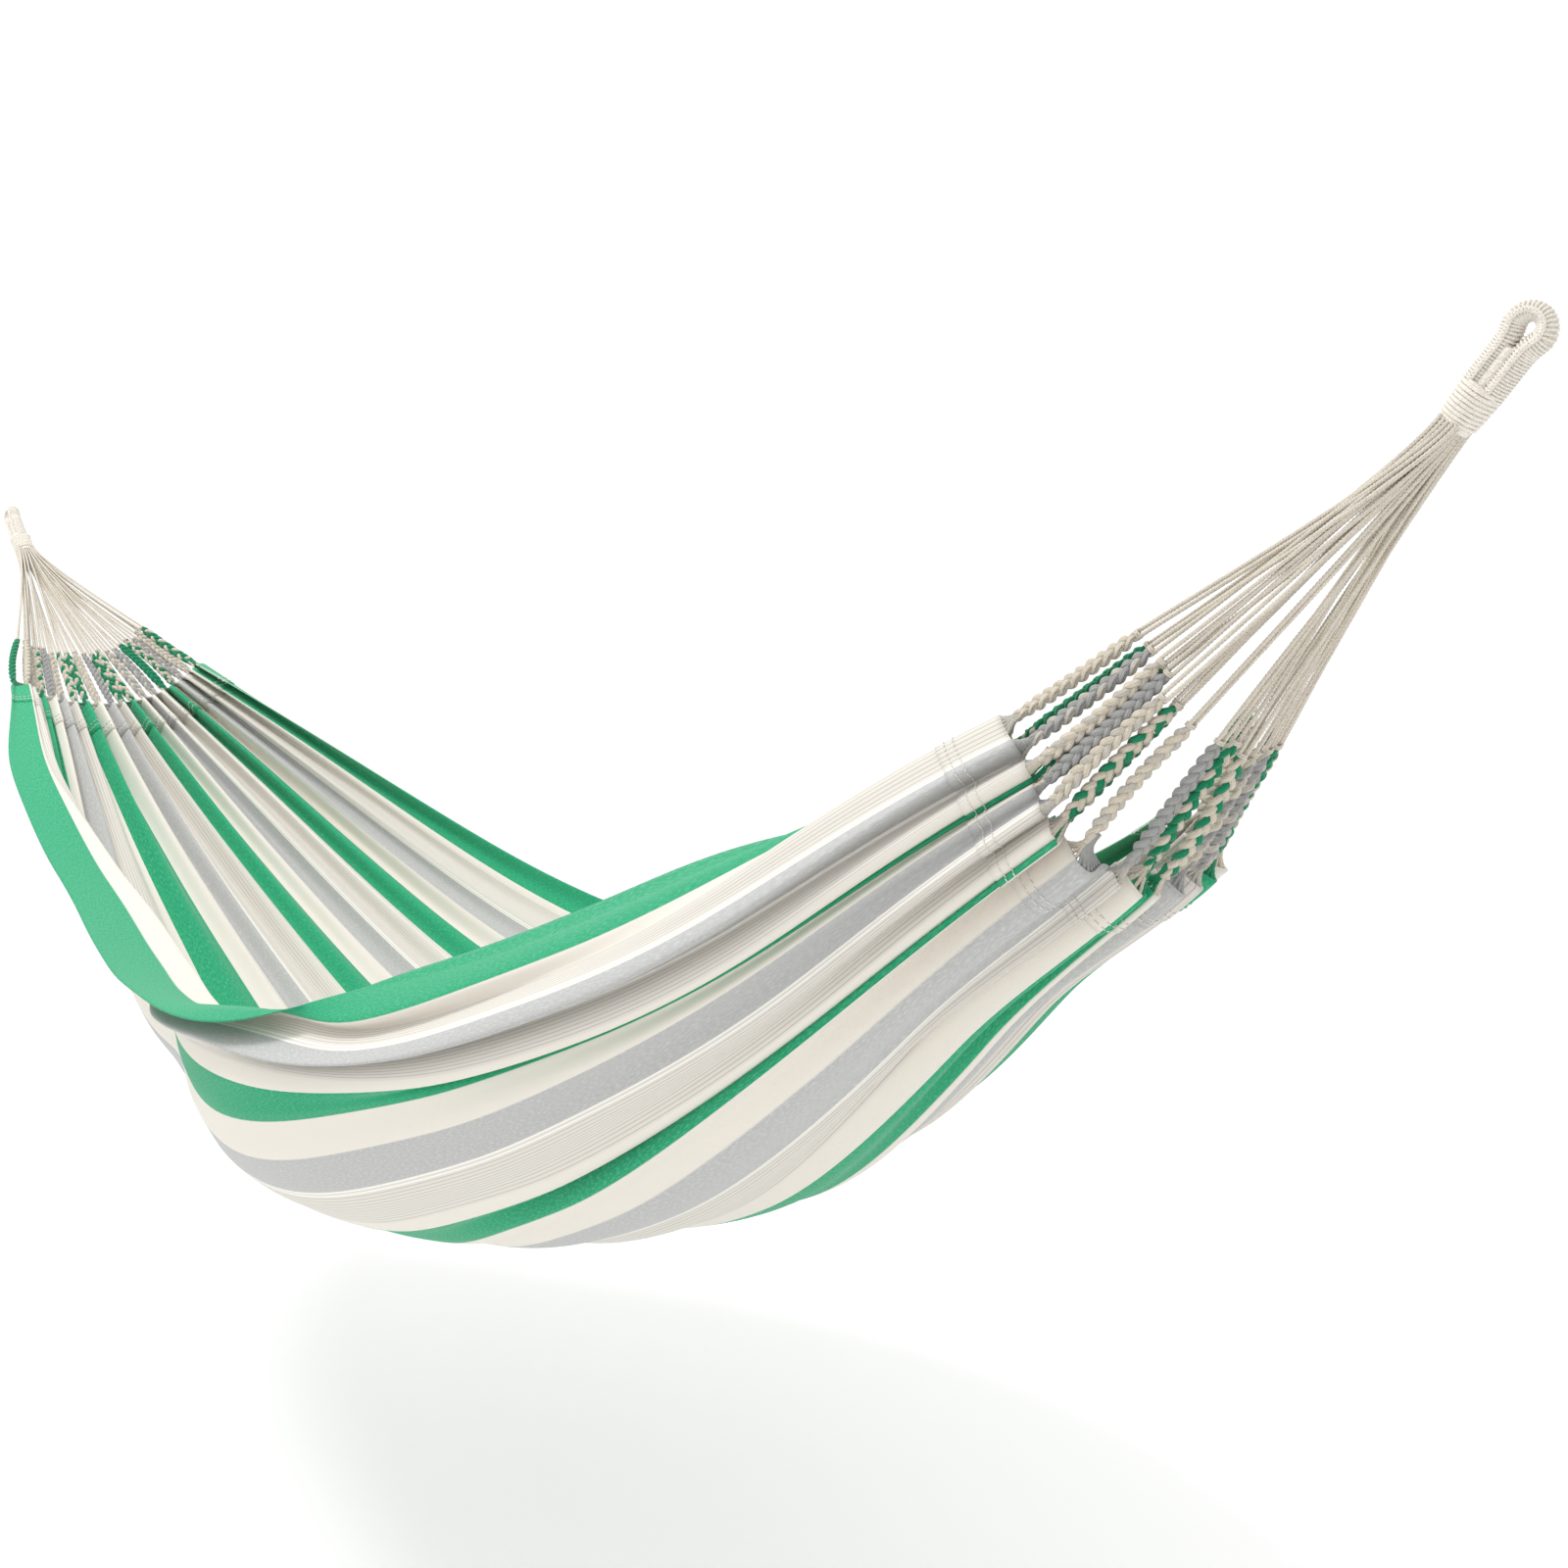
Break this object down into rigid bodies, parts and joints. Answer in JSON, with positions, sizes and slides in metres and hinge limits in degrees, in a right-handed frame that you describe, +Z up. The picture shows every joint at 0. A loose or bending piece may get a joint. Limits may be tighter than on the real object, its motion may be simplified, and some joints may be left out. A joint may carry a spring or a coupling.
{
  "type": "hammock",
  "caption": "Striped woven cloth hammock, hung at each end from a fan of thin cords with plaited bundles at the hem and a cord-wrapped hanging eye.",
  "frame": {"origin": "where the left hook bears on the inside top of the left eye", "axes": "+X level towards the right hook, +Z up, -Y towards the near side of the bed"},
  "size_m": [2.7824, 1.0689, 0.9679],
  "materials": {
    "striped_cloth": "woven cotton, matt, green, ecru and grey stripes",
    "green_yarn": "matt cotton yarn",
    "ecru_yarn": "matt cotton yarn",
    "grey_yarn": "matt cotton yarn",
    "natural_cord": "matt twisted cotton cord",
    "wrapping_cord": "matt close-wound cotton cord",
    "sewing_thread": "matt cotton thread"
  },
  "bodies": {
    "left_eye": {"left_eye_core": "natural_cord", "left_eye_wrap": "wrapping_cord", "left_neck_whipping": "natural_cord"},
    "bed": {"bed_cloth": "striped_cloth", "left_hem": "striped_cloth", "left_hem_stitching": "sewing_thread", "left_suspension_cords": "natural_cord", "left_braid_01": "green_yarn", "left_braid_02": "ecru_yarn", "left_braid_03": "ecru_yarn", "left_braid_04": "ecru_yarn", "left_braid_05": "green_yarn", "left_braid_06": "ecru_yarn", "left_braid_07": "ecru_yarn", "left_braid_08": "green_yarn", "left_braid_09": "green_yarn", "left_braid_10": "grey_yarn", "left_braid_11": "ecru_yarn", "left_braid_12": "green_yarn", "left_braid_13": "ecru_yarn", "left_braid_14": "grey_yarn", "left_braid_15": "ecru_yarn", "left_braid_16": "green_yarn", "left_braid_17": "ecru_yarn", "left_braid_18": "grey_yarn", "left_braid_19": "ecru_yarn", "left_braid_20": "green_yarn", "right_hem": "striped_cloth", "right_hem_stitching": "sewing_thread", "right_suspension_cords": "natural_cord", "right_braid_01": "green_yarn", "right_braid_02": "ecru_yarn", "right_braid_03": "ecru_yarn", "right_braid_04": "ecru_yarn", "right_braid_05": "green_yarn", "right_braid_06": "ecru_yarn", "right_braid_07": "ecru_yarn", "right_braid_08": "green_yarn", "right_braid_09": "green_yarn", "right_braid_10": "grey_yarn", "right_braid_11": "ecru_yarn", "right_braid_12": "green_yarn", "right_braid_13": "ecru_yarn", "right_braid_14": "grey_yarn", "right_braid_15": "ecru_yarn", "right_braid_16": "green_yarn", "right_braid_17": "ecru_yarn", "right_braid_18": "grey_yarn", "right_braid_19": "ecru_yarn", "right_braid_20": "green_yarn"},
    "right_eye": {"right_eye_core": "natural_cord", "right_eye_wrap": "wrapping_cord", "right_neck_whipping": "natural_cord"}
  },
  "joints": [
    {"name": "swing", "type": "hinge", "parent": "left_eye", "child": "bed", "pos_m": [0.05014, 0, -0.05975], "axis": [1, 0, 0], "range_deg": [-40, 40]},
    {"name": "right_eye_turn", "type": "hinge", "parent": "bed", "child": "right_eye", "pos_m": [2.68986, 0, -0.05975], "axis": [1, 0, 0], "range_deg": [-40, 40]}
  ],
  "couplings": [
    {"joint": "right_eye_turn", "follows": "swing", "ratio": -1}
  ]
}
